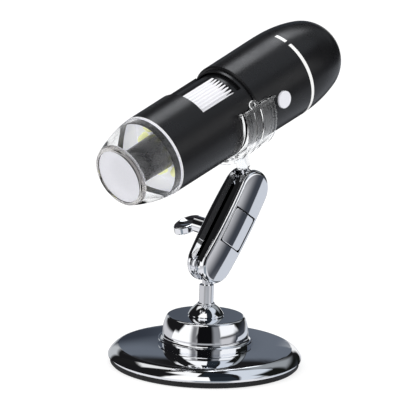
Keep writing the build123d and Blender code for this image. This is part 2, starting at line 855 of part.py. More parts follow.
def make_wheel_grip():
    """Silver inlay of the focus wheel: ridges along the axis that run out in points, and a rail beside them."""
    floor = wheel_radius - grip_inlay_depth + seat_fit
    crest = grip_crest()
    margin = math.degrees(seat_fit / wheel_radius)
    first = grip_left_angle + margin
    last = grip_right_angle - margin
    front = wheel_front_station
    length = grip_length - seat_fit
    body = sector(floor, crest, front, length, first, last)
    groove = grip_groove_size()
    for index in range(grip_ridge_count):
        cutter = around(grip_rail_angle - grip_pitch() * index) * Pos(crest, 0, front + length / 2)
        body -= cutter * Rot(0, 0, 45) * Box(groove, groove, length + 2 * overrun)
    ramp = grip_ramp(seat_fit)
    ramp_foot = (floor - overrun, ramp[0][1])
    ramp_end = (floor - overrun, front + length + overrun)
    return body - turned(ramp_foot, ramp[1], ramp[2], (crest, front + length + overrun), ramp_end)


def board_screw_places():
    return on_circle(board_screw_circle, screw_count)


def make_sensor_board():
    board = rod(wheel_room_radius - seat_fit, sensor_board_station, sensor_board_thickness)
    for place in board_screw_places():
        board -= place * rod(board_screw_radius + thread_fit, sensor_board_station - overrun,
                             sensor_board_thickness + 2 * overrun)
    return board


def make_image_sensor():
    place = Pos(0, 0, sensor_board_station - sensor_height)
    block = Box(sensor_width, sensor_width, sensor_height, align=(Align.CENTER, Align.CENTER, Align.MIN))
    return place * block


def make_board_screws():
    back = sensor_board_station + sensor_board_thickness
    screw = rod(board_screw_head_radius, back, board_screw_head_height)
    screw += rod(board_screw_radius, sensor_board_station - board_screw_depth,
                 board_screw_depth + sensor_board_thickness)
    return Compound([place * screw for place in board_screw_places()])


def make_rear_housing():
    housing = turned(
        (housing_bore, step_station), (housing_front_radius - housing_edge, step_station),
        (housing_front_radius, step_station + housing_edge), (housing_rear_radius, housing_end_station),
        (housing_bore, housing_end_station))
    hole = rod_along_x(button_radius + button_gap, main_board_face, housing_rear_radius)
    return housing - around(button_angle) * Pos(0, 0, button_station) * hole


def dome_curves(gap):
    """Two tangent arcs of the rear dome's skin, drawn in by a gap: a long flank and a rounder nose."""
    flank = dome_flank_radius - gap
    flank_centre = dome_radius - dome_flank_radius
    turn = math.asin(dome_flank_length / dome_flank_radius)
    start = (dome_radius - gap, dome_station)
    middle = (flank_centre + flank * math.cos(turn / 2), dome_station + flank * math.sin(turn / 2))
    shoulder = (flank_centre + flank * math.cos(turn), dome_station + flank * math.sin(turn))
    end = (gland_seat_radius, gland_seat_station - gap)
    away = (math.cos(turn), math.sin(turn))
    chord = (end[0] - shoulder[0], end[1] - shoulder[1])
    nose = -(chord[0] ** 2 + chord[1] ** 2) / (2 * (chord[0] * away[0] + chord[1] * away[1]))
    nose_centre = (shoulder[0] - nose * away[0], shoulder[1] - nose * away[1])
    half = ((shoulder[0] + end[0]) / 2 - nose_centre[0], (shoulder[1] + end[1]) / 2 - nose_centre[1])
    reach = nose / math.hypot(*half)
    nose_middle = (nose_centre[0] + half[0] * reach, nose_centre[1] + half[1] * reach)
    return [arc(start, middle, shoulder), arc(shoulder, nose_middle, end)]


def make_end_cap():
    inner_radius = dome_radius - dome_shell
    inner_end = gland_seat_station - dome_shell
    plug_start = housing_end_station - cap_plug_length
    plug_radius = housing_bore - seat_fit
    seat = (gland_seat_radius, gland_seat_station)
    inner_seat = (gland_seat_radius, inner_end)
    gland_bore = gland_neck_radius + seat_fit
    plug_bore = plug_radius - cap_plug_wall
    cap = turned_curves(
        line((plug_bore, plug_start), (plug_radius, plug_start)),
        line((plug_radius, plug_start), (plug_radius, housing_end_station)),
        line((plug_radius, housing_end_station), (dome_radius, housing_end_station)),
        line((dome_radius, housing_end_station), (dome_radius, dome_station)),
        *dome_curves(0),
        line(seat, (gland_bore, gland_seat_station)),
        line((gland_bore, gland_seat_station), (gland_bore, inner_end)),
        line((gland_bore, inner_end), inner_seat),
        *dome_curves(dome_shell),
        line((inner_radius, dome_station), (plug_bore, housing_end_station)),
        line((plug_bore, housing_end_station), (plug_bore, plug_start)),
    )
    for first, last in ring_segments:
        cap -= sector(dome_radius - ring_depth, dome_radius + overrun, housing_end_station - overrun,
                      ring_width + overrun, first, last)
    return cap


def make_white_ring():
    parts = []
    margin = math.degrees(seat_fit / dome_radius)
    for first, last in ring_segments:
        parts.append(sector(dome_radius - ring_depth + seat_fit, dome_radius + ring_proud, housing_end_station,
                            ring_width, first + margin, last - margin))
    return Compound(parts)


def make_cable_gland():
    end = gland_seat_station + gland_length
    neck_start = gland_seat_station - gland_neck_length
    return turned(
        (cord_bore_radius, neck_start), (gland_neck_radius, neck_start),
        (gland_neck_radius, gland_seat_station), (gland_radius, gland_seat_station),
        (gland_radius, gland_seat_station + gland_length / 2), (gland_tip_radius, end), (cord_bore_radius, end))


def make_snap_button():
    flange_start = button_flange_face - button_flange_thickness
    button = rod_along_x(button_radius, flange_start, button_face - flange_start)
    button = fillet(button.edges().filter_by(GeomType.CIRCLE).sort_by(Axis.X)[-1], button_edge)
    button += rod_along_x(button_flange_radius, flange_start, button_flange_thickness)
    button += rod_along_x(button_stem_radius, flange_start - button_stem_length, button_stem_length)
    return around(button_angle) * Pos(0, 0, button_station) * button


def make_tact_switch():
    body = Box(switch_height, switch_width, switch_width, align=(Align.MIN, Align.CENTER, Align.CENTER))
    switch = Pos(main_board_face, 0, 0) * body
    switch += rod_along_x(plunger_radius, main_board_face + switch_height, plunger_height)
    return around(button_angle) * Pos(0, 0, button_station) * switch


def make_main_board():
    board = Box(main_board_thickness, 2 * main_board_half_width, main_board_length,
                align=(Align.MAX, Align.CENTER, Align.MIN))
    return around(button_angle) * Pos(main_board_face, 0, main_board_station) * board


stand_nodes = {
    "foot_pad": make_foot_pad,
    "base_plate": make_base_plate,
    "base_weight": make_base_weight,
    "base_screws": make_base_screws,
    "dome": make_dome,
    "collar_nut": make_collar,
    "stem": make_stem,
    "swivel_washer": make_swivel_washer,
    "swivel_nut": make_swivel_nut,
    "lower_ball_stud": make_lower_ball,
}
arm_nodes = {
    "arm_front_plate": make_front_plate,
    "arm_rear_plate": make_rear_plate,
    "arm_inset": make_inset,
    "clamp_nut": make_clamp_nut,
    "thumb_screw": make_thumb_screw,
}
clip_nodes = {
    "upper_ball_stud": make_upper_ball,
    "clip": make_clip,
}
scope_nodes = {
    "clear_cap": make_clear_cap,
    "front_window": make_front_window,
    "front_tube": make_front_tube,
    "led_board": make_led_board,
    "leds": make_leds,
    "lens_barrel": make_lens_barrel,
    "guide_pin": make_guide_pin,
    "objective_lens": make_objective_lens,
    "lens_retainer": make_lens_retainer,
    "lens_guide": make_lens_guide,
    "focus_wheel": make_focus_wheel,
    "wheel_grip": make_wheel_grip,
    "sensor_board": make_sensor_board,
    "image_sensor": make_image_sensor,
    "board_screws": make_board_screws,
    "rear_housing": make_rear_housing,
    "end_cap": make_end_cap,
    "white_ring": make_white_ring,
    "cable_gland": make_cable_gland,
    "snap_button": make_snap_button,
    "tact_switch": make_tact_switch,
    "main_board": make_main_board,
}

os.makedirs("parts", exist_ok=True)
for frame, nodes in (
    (Location(), stand_nodes),
    (arm_frame, arm_nodes),
    (stalk_frame, clip_nodes),
    (tube_frame, scope_nodes),
):
    for name, make in nodes.items():
        export_step(frame * make(), f"parts/{name}.step")
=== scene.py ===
import bpy
import math
from mathutils import Matrix, Vector


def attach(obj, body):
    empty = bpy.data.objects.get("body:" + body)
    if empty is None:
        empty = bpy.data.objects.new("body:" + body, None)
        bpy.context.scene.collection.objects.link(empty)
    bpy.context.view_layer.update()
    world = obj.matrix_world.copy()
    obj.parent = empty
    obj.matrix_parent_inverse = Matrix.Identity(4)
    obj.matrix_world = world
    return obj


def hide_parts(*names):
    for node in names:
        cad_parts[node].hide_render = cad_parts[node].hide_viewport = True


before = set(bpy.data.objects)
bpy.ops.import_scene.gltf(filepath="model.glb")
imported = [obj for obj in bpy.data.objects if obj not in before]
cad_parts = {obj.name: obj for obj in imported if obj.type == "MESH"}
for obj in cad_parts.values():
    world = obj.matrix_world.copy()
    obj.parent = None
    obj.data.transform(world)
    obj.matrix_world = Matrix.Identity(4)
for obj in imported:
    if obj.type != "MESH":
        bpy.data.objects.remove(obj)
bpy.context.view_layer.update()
bpy.ops.object.select_all(action="DESELECT")

# Viewpoint: a long lens a little above the foot, low enough to look up under the tube's front end.
# It stands off the right front corner, so the clear cap points to the lower left of the picture.
swing = math.radians(44.70)
height_angle = math.radians(11.52)
roll = math.radians(1.646)
towards_lens = Vector((
    math.sin(swing) * math.cos(height_angle),
    -math.cos(swing) * math.cos(height_angle),
    math.sin(height_angle),
))
level_right = Vector((math.cos(swing), math.sin(swing), 0))
level_up = towards_lens.cross(level_right)
picture_right = math.cos(roll) * level_right + math.sin(roll) * level_up
picture_up = -math.sin(roll) * level_right + math.cos(roll) * level_up
aimed_at = Vector((-0.00232, -0.0023, 0.05991))
lens_distance = 0.8274
lens_place = aimed_at + towards_lens * lens_distance
lens_turn = Matrix((picture_right, picture_up, towards_lens)).transposed().to_4x4()
camera_data = bpy.data.cameras.new("viewpoint")
camera_data.lens = 208.9
camera_data.clip_end = 10
camera = bpy.data.objects.new("viewpoint", camera_data)
bpy.context.scene.collection.objects.link(camera)
camera.matrix_world = Matrix.Translation(lens_place) @ lens_turn
bpy.context.scene.camera = camera
bpy.context.scene.view_settings.view_transform = "Standard"


# Studio: a white sweep behind, with white softboxes and black flags round the object for the plating.
# Each one is a soft-edged patch of sky, placed by its bearing and its height in degrees.
def put(tree, kind, settings=None, sockets=None):
    """Adds a node, gives it its settings, and fills its sockets with values or with other nodes' outputs."""
    made = tree.nodes.new(kind)
    for name, value in (settings or {}).items():
        setattr(made, name, value)
    for name, value in (sockets or {}).items():
        if isinstance(value, bpy.types.NodeSocket):
            tree.links.new(value, made.inputs[name])
        else:
            made.inputs[name].default_value = value
    return made


def math_step(tree, operation, first, second=None):
    """One sum on two values, which may be numbers or outputs."""
    sockets = {0: first} if second is None else {0: first, 1: second}
    return put(tree, "ShaderNodeMath", {"operation": operation}, sockets).outputs[0]


def blank_group(name, inputs, outputs):
    """An empty node group with its named inputs (name, kind, value) and outputs (name, kind)."""
    group = bpy.data.node_groups.new(name, "ShaderNodeTree")
    for label, kind, value in inputs:
        socket = group.interface.new_socket(name=label, in_out="INPUT", socket_type=kind)
        socket.default_value = value
    for label, kind in outputs:
        group.interface.new_socket(name=label, in_out="OUTPUT", socket_type=kind)
    return group, group.nodes.new("NodeGroupInput"), group.nodes.new("NodeGroupOutput")


number = "NodeSocketFloat"
softbox, given, result = blank_group(
    "softbox",
    [("Bearing", number, 0), ("Height", number, 0), ("Left", number, 0), ("Right", number, 0),
     ("Bottom", number, 0), ("Top", number, 0), ("Lean", number, 0), ("Edge", number, 4)],
    [("Mask", number)],
)
above = math_step(softbox, "SUBTRACT", given.outputs["Height"], given.outputs["Bottom"])
shift = math_step(softbox, "MULTIPLY", above, given.outputs["Lean"])
upright = math_step(softbox, "SUBTRACT", given.outputs["Bearing"], shift)
from_left = math_step(softbox, "SUBTRACT", upright, given.outputs["Left"])
from_right = math_step(softbox, "SUBTRACT", given.outputs["Right"], upright)
below = math_step(softbox, "SUBTRACT", given.outputs["Top"], given.outputs["Height"])
across = math_step(softbox, "MINIMUM", from_left, from_right)
upwards = math_step(softbox, "MINIMUM", above, below)
inside = math_step(softbox, "MINIMUM", across, upwards)
half_within = math_step(softbox, "MULTIPLY", given.outputs["Edge"], 0.5)
half_beyond = math_step(softbox, "MULTIPLY", given.outputs["Edge"], -0.5)
softened = put(softbox, "ShaderNodeMapRange", {"interpolation_type": "SMOOTHSTEP"},
               {"Value": inside, "From Min": half_beyond, "From Max": half_within})
softbox.links.new(softened.outputs["Result"], result.inputs["Mask"])

world = bpy.data.worlds.new("studio")
bpy.context.scene.world = world
world.use_nodes = True
sky = world.node_tree
sky.nodes.clear()
direction = put(sky, "ShaderNodeTexCoord").outputs["Generated"]
split = put(sky, "ShaderNodeSeparateXYZ", None, {"Vector": direction})
bearing = math_step(sky, "DEGREES", math_step(sky, "ARCTAN2", split.outputs["Y"], split.outputs["X"]))
height = math_step(sky, "DEGREES", math_step(sky, "ARCSINE", split.outputs["Z"]))
floor_sheen = put(sky, "ShaderNodeMapRange", {"interpolation_type": "SMOOTHSTEP"},
                  {"Value": height, "From Min": 2.0, "From Max": -5.0, "To Min": 0.012, "To Max": 0.60})
lower_sheen = put(sky, "ShaderNodeMapRange", {"interpolation_type": "SMOOTHSTEP"},
                  {"Value": height, "From Min": -20.0, "From Max": -30.0, "To Min": 0.0, "To Max": 0.22})
seen = math_step(sky, "ADD", floor_sheen.outputs["Result"], lower_sheen.outputs["Result"])
blue_gain = 1.04
blue_seen = math_step(sky, "MULTIPLY", seen, blue_gain)
tinted = put(sky, "ShaderNodeCombineColor", None, {"Red": seen, "Green": seen, "Blue": blue_seen})
seen = tinted.outputs["Color"]
# Each patch: left, right, bottom, top, lean (degrees sideways per degree up), edge, then its colour.
# Later patches lie over earlier ones.
studio_patches = [
    (-146, -80, -12, 30, 0.6, 3, (1.10, 1.10, 1.10)),
    (-84, -66, -14, 31, 0.0, 14, (0.20, 0.20, 0.21)),
    (-66, -20, -13, 30, 0.0, 4, (0.005, 0.005, 0.006)),
    (-24, -4, -13, 30, 0.0, 12, (0.25, 0.26, 0.28)),
    (-106, -37, 33, 57, 0.0, 2, (1.10, 1.10, 1.10)),
    (-118, -57, 55, 80, 0.0, 3, (1.05, 1.05, 1.05)),
    (-37, 0, 31, 57, 0.0, 2, (0.020, 0.026, 0.034)),
    (-57, 6, 57, 86, 0.6, 3, (0.014, 0.018, 0.024)),
    (-4, 62, 3, 29, 0.0, 6, (1.00, 1.01, 1.03)),
    (0, 62, 31, 75, 0.55, 5, (0.66, 0.71, 0.78)),
    (62, 118, -4, 42, -0.75, 8, (0.008, 0.009, 0.008)),
    (76, 106, 22, 62, 0.0, 14, (0.30, 0.32, 0.34)),
    (-180, -122, 4, 60, 0.7, 8, (0.010, 0.010, 0.011)),
    (140, 180, 27, 50, 0.0, 4, (0.030, 0.030, 0.034)),
    (160, 180, 5, 52, 0.0, 6, (0.010, 0.010, 0.011)),
    (-180, -150, 45, 72, 0.0, 8, (0.85, 0.85, 0.85)),
    (143, 170, -5, 20, 0.0, 8, (0.50, 0.52, 0.54)),
    (119, 144, -2, 24.5, 0.0, 5, (0.135, 0.155, 0.190)),
    (134.5, 150, 2, 15, 0.0, 8, (0.036, 0.043, 0.058)),
    (117, 127, -10, 12, 0.0, 6, (0.95, 0.95, 0.95)),
    (104, 152, 52, 80, 0.0, 10, (4.20, 4.30, 4.50)),
    (-62, -5, -62, -16, 0.0, 12, (0.27, 0.31, 0.35)),
    (23, 76, -30, 4, 0.577, 20, (0.048, 0.054, 0.068)),
    (30.7, 108, -45, -7, 0.577, 1.5, (0.62, 0.65, 0.71)),
    (108, 168, -84, -13, 0.0, 10, (0.020, 0.020, 0.022)),
    (-180, 180, -90, -74, 0.0, 10, (0.30, 0.30, 0.30)),
]
for left, right, bottom, top, lean, edge, shade in studio_patches:
    patch = put(sky, "ShaderNodeGroup", {"node_tree": softbox}, {
        "Bearing": bearing, "Height": height, "Left": left, "Right": right,
        "Bottom": bottom, "Top": top, "Lean": lean, "Edge": edge,
    })
    seen = put(sky, "ShaderNodeMix", {"data_type": "RGBA"},
               {0: patch.outputs["Mask"], 6: seen, 7: (*shade, 1)}).outputs[2]
plain_light = put(sky, "ShaderNodeMapRange", None,
                  {"Value": height, "From Min": -90.0, "From Max": 90.0, "To Min": 0.55, "To Max": 1.10})
rays = put(sky, "ShaderNodeLightPath")
lit = put(sky, "ShaderNodeMix", {"data_type": "RGBA"},
          {0: rays.outputs["Is Diffuse Ray"], 6: seen, 7: plain_light.outputs["Result"]}).outputs[2]
open_view = math_step(sky, "MAXIMUM", rays.outputs["Is Camera Ray"], rays.outputs["Is Transmission Ray"])
shown = put(sky, "ShaderNodeMix", {"data_type": "RGBA"}, {0: open_view, 6: lit, 7: (1, 1, 1, 1)}).outputs[2]
background = put(sky, "ShaderNodeBackground", None, {"Color": shown, "Strength": 1.0})
put(sky, "ShaderNodeOutputWorld", None, {"Surface": background.outputs["Background"]})

# Floor: the pale sweep that the foot stands on, a disc a few metres wide whose edge is never seen.
# It is plain paper, white to the lens, and holds the faint shadow under the foot.
floor_gap = 0.00005
bpy.ops.mesh.primitive_circle_add(vertices=96, radius=3.0, fill_type="NGON", location=(0, 0, -floor_gap))
floor = bpy.context.object
floor.name = "floor"
paper = bpy.data.materials.new("floor_paper")
paper.use_nodes = True
tree = paper.node_tree
tree.nodes.clear()
paper_coords = put(tree, "ShaderNodeTexCoord").outputs["Object"]
paper_fibre = put(tree, "ShaderNodeTexNoise", None, {"Vector": paper_coords, "Scale": 900.0, "Detail": 3.0})
paper_shade = put(tree, "ShaderNodeMapRange", None,
                  {"Value": paper_fibre.outputs["Fac"], "To Min": 0.395, "To Max": 0.405})
paper_diffuse = put(tree, "ShaderNodeBsdfDiffuse", None, {"Color": paper_shade.outputs["Result"]})
paper_glow = put(tree, "ShaderNodeEmission", None, {"Color": (1, 1, 1, 1), "Strength": 0.66})
paper_sum = put(tree, "ShaderNodeAddShader", None, {0: paper_diffuse.outputs[0], 1: paper_glow.outputs[0]})
put(tree, "ShaderNodeOutputMaterial", None, {"Surface": paper_sum.outputs[0]})
floor.data.materials.append(paper)
floor.visible_glossy = False
bpy.ops.object.select_all(action="DESELECT")


def softlight(name, place, size, power):
    """A square diffusion panel that faces the object and lifts its painted and moulded surfaces."""
    panel = bpy.data.lights.new(name, "AREA")
    panel.size = size
    panel.energy = power
    lamp = bpy.data.objects.new(name, panel)
    bpy.context.scene.collection.objects.link(lamp)
    lamp.location = place
    lamp.rotation_mode = "QUATERNION"
    object_middle = Vector((0, 0, 0.06))
    lamp.rotation_quaternion = (Vector(place) - object_middle).to_track_quat("Z", "Y")
    lamp.visible_glossy = False
    lamp.visible_camera = False
    lamp.visible_transmission = False


softlight("softlight_left", (-0.45, -0.55, 0.60), 0.5, 2.2)
softlight("softlight_right", (0.75, 0.05, 0.45), 0.4, 0.9)


# Foot pad: a thin black rubber disc stuck in under the pressed foot.
# It keeps the polished rim a little off the bench and shows as a matt black line all round.
smears, given, result = blank_group(
    "handling_smears",
    [("Scale", number, 90), ("Clean", number, 0.03), ("Smeared", number, 0.06)],
    [("Roughness", number), ("Mask", number)],
)
smear_coords = put(smears, "ShaderNodeTexCoord").outputs["Object"]
broad = put(smears, "ShaderNodeTexNoise", None, {
    "Vector": smear_coords, "Scale": given.outputs["Scale"],
    "Detail": 4.0, "Roughness": 0.6, "Distortion": 0.8,
})
fine_ratio, fine_share = 9.0, 0.35
fine_scale = math_step(smears, "MULTIPLY", given.outputs["Scale"], fine_ratio)
fine = put(smears, "ShaderNodeTexNoise", None,
           {"Vector": smear_coords, "Scale": fine_scale, "Detail": 3.0, "Roughness": 0.5})
faint_fine = math_step(smears, "MULTIPLY", fine.outputs["Fac"], fine_share)
smear_sum = math_step(smears, "ADD", broad.outputs["Fac"], faint_fine)
smear_mask = put(smears, "ShaderNodeMapRange", {"interpolation_type": "SMOOTHSTEP"},
                 {"Value": smear_sum, "From Min": 0.55, "From Max": 0.85})
smear_rough = put(smears, "ShaderNodeMapRange", None, {
    "Value": smear_mask.outputs["Result"],
    "To Min": given.outputs["Clean"], "To Max": given.outputs["Smeared"],
})
smears.links.new(smear_mask.outputs["Result"], result.inputs["Mask"])
smears.links.new(smear_rough.outputs["Result"], result.inputs["Roughness"])

grain, given, result = blank_group(
    "surface_grain",
    [("Scale", number, 2600), ("Ripple Scale", number, 160), ("Ripple", number, 0.2)],
    [("Height", number), ("Shade", number)],
)
grain_coords = put(grain, "ShaderNodeTexCoord").outputs["Object"]
pits = put(grain, "ShaderNodeTexNoise", None,
           {"Vector": grain_coords, "Scale": given.outputs["Scale"], "Detail": 2.0, "Roughness": 0.55})
waves = put(grain, "ShaderNodeTexNoise", None,
            {"Vector": grain_coords, "Scale": given.outputs["Ripple Scale"], "Detail": 1.0})
grain_sum = put(grain, "ShaderNodeMix", {"data_type": "FLOAT"},
                {0: given.outputs["Ripple"], 2: pits.outputs["Fac"], 3: waves.outputs["Fac"]})
grain.links.new(grain_sum.outputs[0], result.inputs["Height"])
grain.links.new(pits.outputs["Fac"], result.inputs["Shade"])


def finish(name, dark, light, clean, smeared, smear_scale=90.0, metallic=0.0, grain_scale=2600.0,
           ripple_scale=160.0, ripple=0.2, depth=0.0, settings=None):
    """Two near shades mottled by grain, with gloss dulled in places by handling and a fine relief."""
    surface = bpy.data.materials.new(name)
    surface.use_nodes = True
    tree = surface.node_tree
    shader = tree.nodes["Principled BSDF"]
    marks = put(tree, "ShaderNodeGroup", {"node_tree": smears},
                {"Scale": smear_scale, "Clean": clean, "Smeared": smeared})
    relief = put(tree, "ShaderNodeGroup", {"node_tree": grain},
                 {"Scale": grain_scale, "Ripple Scale": ripple_scale, "Ripple": ripple})
    colour = put(tree, "ShaderNodeMix", {"data_type": "RGBA"},
                 {0: relief.outputs["Shade"], 6: (*dark, 1), 7: (*light, 1)})
    tree.links.new(colour.outputs[2], shader.inputs["Base Color"])
    tree.links.new(marks.outputs["Roughness"], shader.inputs["Roughness"])
    shader.inputs["Metallic"].default_value = metallic
    if depth:
        bump = put(tree, "ShaderNodeBump", None,
                   {"Strength": 1.0, "Distance": depth, "Height": relief.outputs["Height"]})
        tree.links.new(bump.outputs["Normal"], shader.inputs["Normal"])
    for label, value in (settings or {}).items():
        shader.inputs[label].default_value = value
    return surface


def dress(node, material):
    """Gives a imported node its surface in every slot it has."""
    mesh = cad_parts[node].data
    if not mesh.materials:
        mesh.materials.append(material)
    for place in range(len(mesh.materials)):
        mesh.materials[place] = material


pad_rubber = finish("pad_rubber", (0.006, 0.006, 0.007), (0.012, 0.012, 0.013), 0.62, 0.75,
                    grain_scale=3200.0, depth=0.00006)
dress("foot_pad", pad_rubber)

# Foot weight: a round cast iron slug let in under the pressed foot, with its rough skin left on.
# It keeps the stand upright while the arm leans out.
cast_skin = finish("cast_skin", (0.09, 0.09, 0.095), (0.20, 0.20, 0.21), 0.55, 0.70, metallic=0.6,
                   grain_scale=1400.0, ripple=0.35, depth=0.0002)
dress("base_weight", cast_skin)

# Foot: one round pressing with a rolled rim, a bevel and a raised seat for the dome.
# It is polished and chrome plated all over, so it shows the studio rather than a colour of its own.
chrome = finish("chrome_plate", (0.90, 0.91, 0.93), (0.93, 0.94, 0.96), 0.012, 0.035, metallic=1.0,
                grain_scale=700.0, ripple_scale=55.0, ripple=0.75, depth=0.000006)
dress("base_plate", chrome)

# Dome: a deep chromed cup with a thin flared lip that stands just off the foot.
# Three zinc plated screws draw it down onto its seat from inside the foot.
zinc_plate = finish("zinc_plate", (0.50, 0.51, 0.53), (0.66, 0.67, 0.68), 0.22, 0.38, metallic=1.0,
                    grain_scale=1800.0, depth=0.00003)
dress("dome", chrome)
dress("base_screws", zinc_plate)

# Swivel: a plain washer and a nut on the post's shank, inside the dome.
# They are set just tight enough for the post to turn in the dome's top.
dress("swivel_washer", zinc_plate)
dress("swivel_nut", zinc_plate)

# Post: a turned bell collar, a rod and a polished ball stud, chromed like the foot.
# The stud screws into the rod, and the collar hides where the rod enters the dome.
dress("collar_nut", chrome)
dress("stem", chrome)
dress("lower_ball_stud", chrome)


# Arm: two cast half shells, crowned and plated, that grip the ball at each end between them.
# The front one has a rectangular inset panel let into its face over the clamp nut.
# Shade is painted on the pocket's walls round the panel, so they read as a dark groove.
def along(tree, origin, axis):
    """How far a point of the surface lies from an origin, in metres along one direction."""
    place = put(tree, "ShaderNodeTexCoord").outputs["Object"]
    away = put(tree, "ShaderNodeVectorMath", {"operation": "SUBTRACT"}, {0: place, 1: origin})
    reach = put(tree, "ShaderNodeVectorMath", {"operation": "DOT_PRODUCT"},
                {0: away.outputs["Vector"], 1: axis})
    return reach.outputs["Value"]


def within(tree, value, low, high):
    """One where a value lies between two limits, and zero elsewhere."""
    above = math_step(tree, "GREATER_THAN", value, low)
    under = math_step(tree, "LESS_THAN", value, high)
    return math_step(tree, "MULTIPLY", above, under)


def painted_where(material, mask, colour):
    """Lays a second colour over a surface's own, where a mask is one."""
    tree = material.node_tree
    shader = tree.nodes["Principled BSDF"]
    own = shader.inputs["Base Color"].links[0].from_socket
    both = put(tree, "ShaderNodeMix", {"data_type": "RGBA"}, {0: mask, 6: own, 7: (*colour, 1)})
    tree.links.new(both.outputs[2], shader.inputs["Base Color"])


front_half_painted_shade = chrome.copy()
front_half_painted_shade.name = "chrome_front_painted_shade"
tree = front_half_painted_shade.node_tree
lower_ball = (0, 0, 0.03566)
out_of_face = along(tree, lower_ball, (0.998889875, -0.025448804, -0.039640586))
across_face = along(tree, lower_ball, (0, 0.841510782, -0.54024032))
up_face = along(tree, lower_ball, (0.047106451, 0.539640586, 0.8405766))
pocket_half_width = 0.00563
pocket_bottom, pocket_top = 0.00937, 0.02333
pocket_floor, pocket_mouth = 0.0047, 0.00575
pocket_zones = (
    within(tree, across_face, -pocket_half_width, pocket_half_width),
    within(tree, up_face, pocket_bottom, pocket_top),
    within(tree, out_of_face, pocket_floor, pocket_mouth),
)
pocket_shade_mask = math_step(tree, "MULTIPLY", pocket_zones[0], pocket_zones[1])
pocket_shade_mask = math_step(tree, "MULTIPLY", pocket_shade_mask, pocket_zones[2])
# Painted shade: the pocket's walls round the inset panel are coloured near black, like a shadowed groove.
painted_where(front_half_painted_shade, pocket_shade_mask, (0.004, 0.004, 0.005))
dress("arm_front_plate", front_half_painted_shade)
dress("arm_rear_plate", chrome)
dress("arm_inset", chrome)
dress("clamp_nut", zinc_plate)

# Thumb screw: a plated collar, hub and dished oval paddle, cast in one on a steel screw.
# It runs through the rear half into the nut and draws the two halves together.
dress("thumb_screw", chrome)

# Ball of the clip: a polished steel ball whose shank is pressed up into the clip's clear stalk.
# The arm's upper end grips it.
dress("upper_ball_stud", chrome)


# Clip: one clear polycarbonate moulding that springs round the tube, on a clear stalk.
# It has an end flange, two ribs, and a pocketed lip with a small eye along each of its two edges.
millimetre = 0.001
merge_distance = 0.000001


def drawn(name, corners, closed=True):
    """A wire through corners given in millimetres, left in edit mode with all of it selected."""
    corners = [Vector(corner) * millimetre for corner in corners]
    bpy.ops.mesh.primitive_plane_add(size=millimetre, location=(0, 0, 0))
    wire = bpy.context.object
    wire.name = name
    bpy.ops.object.mode_set(mode="EDIT")
    bpy.ops.mesh.select_mode(type="VERT")
    bpy.ops.mesh.merge(type="CENTER")
    bpy.ops.transform.translate(value=corners[0])
    stops = corners[1:] + corners[:1] if closed else corners[1:]
    for last, stop in zip(corners, stops):
        bpy.ops.mesh.extrude_region_move(TRANSFORM_OT_translate={"value": stop - last})
    bpy.ops.mesh.select_all(action="SELECT")
    bpy.ops.mesh.remove_doubles(threshold=merge_distance)
    return wire


def closed_up(piece, place, smooth=28):
    """Turns all faces outwards, leaves edit mode, settles the piece in its place and smooths it."""
    bpy.ops.mesh.select_all(action="SELECT")
    bpy.ops.mesh.remove_doubles(threshold=merge_distance)
    bpy.ops.mesh.normals_make_consistent(inside=False)
    bpy.ops.mesh.select_all(action="DESELECT")
    bpy.ops.object.mode_set(mode="OBJECT")
    piece.matrix_world = place
    bpy.ops.object.transform_apply(location=True, rotation=True, scale=True)
    bpy.ops.object.shade_smooth_by_angle(angle=math.radians(smooth))
    return piece


def spun(name, outline, place, steps=128, closed=True, turn=360, first=0, smooth=28):
    """A piece turned from an outline of (radius, station) in millimetres, starting at a first angle."""
    piece = drawn(name, [(radius, 0, station) for radius, station in outline], closed)
    bpy.ops.mesh.spin(steps=steps, angle=-math.radians(turn), center=(0, 0, 0), axis=(0, 0, 1))
    if turn < 360:
        bpy.ops.mesh.select_all(action="SELECT")
        bpy.ops.mesh.fill_holes(sides=0)
    return closed_up(piece, place @ Matrix.Rotation(math.radians(first), 4, "Z"), smooth)


def pulled(name, outline, start, length, place):
    """A straight bar, in millimetres, whose outline of (x, y) is pulled along the station axis."""
    piece = drawn(name, [(x, y, start) for x, y in outline])
    bpy.ops.mesh.edge_face_add()
    bpy.ops.mesh.extrude_region_move(TRANSFORM_OT_translate={"value": (0, 0, length * millimetre)})
    return closed_up(piece, place)


def let_light_in(material, share=0.9):
    """Clear walls hardly shade what is behind them: the rays that carry light pass straight through."""
    tree = material.node_tree
    rays = put(tree, "ShaderNodeLightPath").outputs
    carrying = math_step(tree, "MAXIMUM", rays["Is Shadow Ray"], rays["Is Diffuse Ray"])
    held = math_step(tree, "MULTIPLY", carrying, share)
    kept = math_step(tree, "SUBTRACT", 1.0, held)
    tree.links.new(kept, tree.nodes["Principled BSDF"].inputs["Alpha"])


def joined(piece, others):
    """Welds other solids into a piece and removes them."""
    for other in others:
        weld = piece.modifiers.new("weld", "BOOLEAN")
        weld.operation = "UNION"
        weld.solver = "EXACT"
        weld.object = other
        bpy.context.view_layer.objects.active = piece
        bpy.ops.object.modifier_apply(modifier=weld.name)
        bpy.data.objects.remove(other)
    return piece


tube_right = Vector((0.998629535, -0.017899951, 0.049179712))
tube_down = Vector((0.052335956, 0.341551417, -0.938404805))
tube_back = Vector((0, 0.939692621, 0.342020143))
tube_front = (0.000011129, -0.044584010, 0.073470286)
upper_ball = (0.00159691, 0.01829382, 0.06415555)
tube_turn = Matrix((tube_right, tube_down, tube_back)).transposed().to_4x4()
stalk_turn = Matrix((tube_right, tube_back, -tube_down)).transposed().to_4x4()
tube_place = Matrix.Translation(tube_front) @ tube_turn
stalk_place = Matrix.Translation(upper_ball) @ stalk_turn

